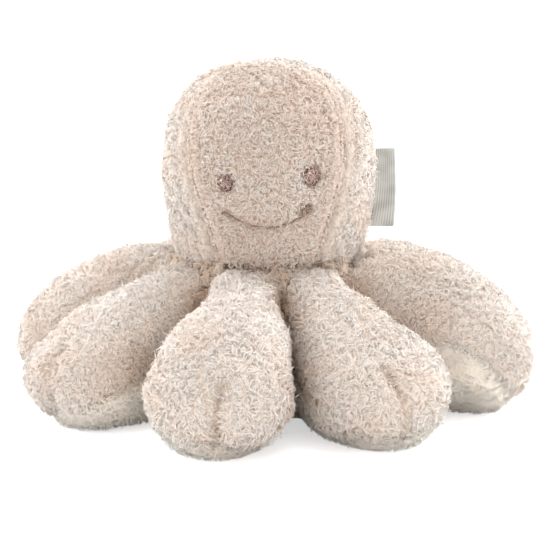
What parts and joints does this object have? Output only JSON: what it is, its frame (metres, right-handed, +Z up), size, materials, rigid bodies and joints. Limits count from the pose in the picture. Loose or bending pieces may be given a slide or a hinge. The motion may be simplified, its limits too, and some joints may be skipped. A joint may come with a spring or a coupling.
{
  "type": "plush octopus",
  "caption": "Soft toy octopus with a round stuffed head, a stitched smiling face and a ring of thick stuffed fleece legs that spread out on the floor.",
  "frame": {"origin": "on the floor under the middle of the head and base", "axes": "+Z up; the face looks along -Y; +X to the right as seen from the front"},
  "size_m": [0.255, 0.2473, 0.1705],
  "materials": {
    "fleece": "curly teddy fleece",
    "face_fleece": "curly teddy fleece",
    "sole_velour": "short smooth velour",
    "stuffing": "soft fibre stuffing",
    "eye_thread": "satin embroidery",
    "glint_thread": "satin embroidery",
    "smile_thread": "satin embroidery",
    "label_satin": "woven satin ribbon"
  },
  "bodies": {
    "body": {"face_panel": "face_fleece", "right_side_panel": "fleece", "right_back_panel": "fleece", "left_back_panel": "fleece", "left_side_panel": "fleece", "head_filling": "stuffing", "left_eye": "eye_thread", "left_eye_glint": "glint_thread", "right_eye": "eye_thread", "right_eye_glint": "glint_thread", "smile": "smile_thread", "smile_left_tick": "smile_thread", "smile_right_tick": "smile_thread", "base_band": "fleece", "base_filling": "stuffing", "base_disc": "sole_velour"},
    "leg_1": {"leg_1_cover": "fleece", "leg_1_sole": "sole_velour", "leg_1_filling": "stuffing"},
    "leg_2": {"leg_2_cover": "fleece", "leg_2_sole": "sole_velour", "leg_2_filling": "stuffing"},
    "leg_3": {"leg_3_cover": "fleece", "leg_3_sole": "sole_velour", "leg_3_filling": "stuffing"},
    "leg_4": {"leg_4_cover": "fleece", "leg_4_sole": "sole_velour", "leg_4_filling": "stuffing"},
    "leg_5": {"leg_5_cover": "fleece", "leg_5_sole": "sole_velour", "leg_5_filling": "stuffing"},
    "leg_6": {"leg_6_cover": "fleece", "leg_6_sole": "sole_velour", "leg_6_filling": "stuffing"},
    "leg_7": {"leg_7_cover": "fleece", "leg_7_sole": "sole_velour", "leg_7_filling": "stuffing"},
    "leg_8": {"leg_8_cover": "fleece", "leg_8_sole": "sole_velour", "leg_8_filling": "stuffing"},
    "label": {"side_label": "label_satin"}
  },
  "joints": [
    {"name": "leg_1_lift", "type": "hinge", "parent": "body", "child": "leg_1", "pos_m": [-0.01204, -0.04492, 0.0745], "axis": [-0.9659, 0.2588, 0], "range_deg": [0, 40]},
    {"name": "leg_2_lift", "type": "hinge", "parent": "body", "child": "leg_2", "pos_m": [0.02325, -0.04027, 0.0745], "axis": [-0.866, -0.5, 0], "range_deg": [0, 40]},
    {"name": "leg_3_lift", "type": "hinge", "parent": "body", "child": "leg_3", "pos_m": [0.04492, -0.01204, 0.0745], "axis": [-0.2588, -0.9659, 0], "range_deg": [0, 40]},
    {"name": "leg_4_lift", "type": "hinge", "parent": "body", "child": "leg_4", "pos_m": [0.04027, 0.02325, 0.0745], "axis": [0.5, -0.866, 0], "range_deg": [0, 40]},
    {"name": "leg_5_lift", "type": "hinge", "parent": "body", "child": "leg_5", "pos_m": [0.01204, 0.04492, 0.0745], "axis": [0.9659, -0.2588, 0], "range_deg": [0, 40]},
    {"name": "leg_6_lift", "type": "hinge", "parent": "body", "child": "leg_6", "pos_m": [-0.02325, 0.04027, 0.0745], "axis": [0.866, 0.5, 0], "range_deg": [0, 40]},
    {"name": "leg_7_lift", "type": "hinge", "parent": "body", "child": "leg_7", "pos_m": [-0.04492, 0.01204, 0.0745], "axis": [0.2588, 0.9659, 0], "range_deg": [0, 40]},
    {"name": "leg_8_lift", "type": "hinge", "parent": "body", "child": "leg_8", "pos_m": [-0.04027, -0.02325, 0.0745], "axis": [-0.5, 0.866, 0], "range_deg": [0, 40]},
    {"name": "label_flap", "type": "hinge", "parent": "body", "child": "label", "pos_m": [0.05473, 0.00287, 0.1061], "axis": [0, 0, 1], "range_deg": [-45, 45], "stiffness_Nm_per_rad": 0.0001}
  ]
}
